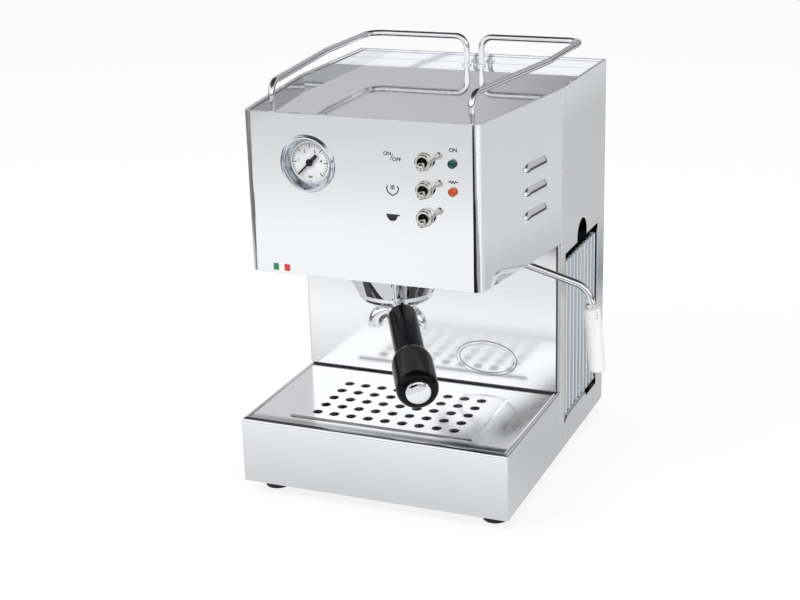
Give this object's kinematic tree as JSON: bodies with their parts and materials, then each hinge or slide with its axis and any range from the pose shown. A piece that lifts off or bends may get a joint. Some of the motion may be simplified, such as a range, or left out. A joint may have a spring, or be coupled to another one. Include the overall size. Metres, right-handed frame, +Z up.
{
  "type": "espresso machine",
  "caption": "Household espresso machine: overhanging head above a drip tray box, rear column with a water tank, lockable portafilter, steam wand, gauge, toggle switches and cup rails.",
  "frame": {"origin": "on the standing surface, midway between the sides and between the front and rear of the base", "axes": "+X to the right seen from the front, +Y to the rear, +Z up"},
  "size_m": [0.3041, 0.3817, 0.3748],
  "materials": {
    "polished_steel": "bright polished sheet",
    "tray_steel": "polished, satin on the raised field",
    "inner_steel": "plain zinc-plated sheet",
    "fastener_steel": "plain",
    "chrome": "polished",
    "brass": "plain cast and machined",
    "copper": "drawn copper",
    "black_rubber": "matt",
    "black_plastic": "matt",
    "gloss_black": "gloss",
    "clear_tank": "clear moulded plastic",
    "gauge_glass": "clear",
    "dial_white": "satin white, printed scale",
    "needle_black": "satin black",
    "lamp_lens": "gloss; the upper lens is green",
    "red_rubber": "silicone",
    "hose": "milky silicone and nylon"
  },
  "bodies": {
    "machine": {"base_plate": "inner_steel", "feet": "black_rubber", "foot_screws": "fastener_steel", "bulkhead": "inner_steel", "left_cover": "polished_steel", "right_cover": "polished_steel", "rear_cover": "polished_steel", "rear_screws": "fastener_steel", "head_cover": "polished_steel", "underside_panel": "inner_steel", "splash_panel": "polished_steel", "splash_seal": "black_rubber", "tray_ledges": "inner_steel", "tank_shelf": "inner_steel", "tank_socket": "black_plastic", "group_head": "chrome", "group_gasket": "black_rubber", "shower_screen": "inner_steel", "shower_screw": "fastener_steel", "boiler": "brass", "boiler_lid": "brass", "boiler_bolts": "fastener_steel", "heating_element": "fastener_steel", "thermostats": "black_plastic", "steam_valve": "brass", "steam_pipe": "copper", "pump": "black_plastic", "pump_cradle": "inner_steel", "pump_dampers": "black_rubber", "suction_hose": "hose", "pressure_pipe": "hose", "gauge_case": "inner_steel", "gauge_dial": "dial_white", "gauge_glass": "gauge_glass", "gauge_bezel": "chrome", "switch_bodies": "black_plastic", "switch_nuts": "chrome", "lamps": "lamp_lens", "power_inlet": "black_plastic"},
    "water_tank": {"water_tank": "clear_tank", "tank_seal": "red_rubber"},
    "drip_tray": {"drip_tray": "polished_steel"},
    "drip_cover": {"drip_cover": "tray_steel"},
    "cup_tray": {"cup_tray": "polished_steel", "left_rail": "chrome", "right_rail": "chrome", "rail_nuts": "fastener_steel"},
    "portafilter": {"portafilter": "chrome", "filter_basket": "inner_steel", "spout": "chrome", "handle_ferrule": "chrome", "handle_grip": "gloss_black", "handle_cap": "chrome"},
    "steam_wand": {"wand_tube": "chrome", "wand_collar": "chrome", "frothing_sleeve": "chrome"},
    "gauge_needle": {"gauge_needle": "needle_black"},
    "power_lever": {"power_lever": "chrome"},
    "steam_lever": {"steam_lever": "chrome"},
    "brew_lever": {"brew_lever": "chrome"}
  },
  "joints": [
    {"name": "tank_slide", "type": "slide", "parent": "machine", "child": "water_tank", "axis": [1, 0, 0], "range_m": [0, 0.135]},
    {"name": "tray_slide", "type": "slide", "parent": "machine", "child": "drip_tray", "axis": [0, -1, 0], "range_m": [0, 0.15]},
    {"name": "drip_cover_lift", "type": "slide", "parent": "drip_tray", "child": "drip_cover", "axis": [0, 0, 1], "range_m": [0, 0.035]},
    {"name": "cup_tray_lift", "type": "slide", "parent": "machine", "child": "cup_tray", "axis": [0, 0, 1], "range_m": [0, 0.06]},
    {"name": "portafilter_turn", "type": "hinge", "parent": "machine", "child": "portafilter", "pos_m": [0, -0.077, 0.19], "axis": [0, 0, 1], "range_deg": [-70, 0]},
    {"name": "wand_swivel", "type": "hinge", "parent": "machine", "child": "steam_wand", "pos_m": [0.096, -0.0557, 0.22], "axis": [0, 0, 1], "range_deg": [-90, 40]},
    {"name": "gauge_needle_turn", "type": "hinge", "parent": "machine", "child": "gauge_needle", "pos_m": [-0.0465, -0.147, 0.3115], "axis": [0, 1, 0], "range_deg": [0, 270], "stiffness_Nm_per_rad": 0.00002},
    {"name": "power_lever_tilt", "type": "hinge", "parent": "machine", "child": "power_lever", "pos_m": [0.0575, -0.149, 0.321], "axis": [0, 0, -1], "range_deg": [0, 26]},
    {"name": "steam_lever_tilt", "type": "hinge", "parent": "machine", "child": "steam_lever", "pos_m": [0.0575, -0.149, 0.2978], "axis": [0, 0, -1], "range_deg": [0, 26]},
    {"name": "brew_lever_tilt", "type": "hinge", "parent": "machine", "child": "brew_lever", "pos_m": [0.0575, -0.149, 0.2746], "axis": [0, 0, -1], "range_deg": [0, 26]}
  ]
}
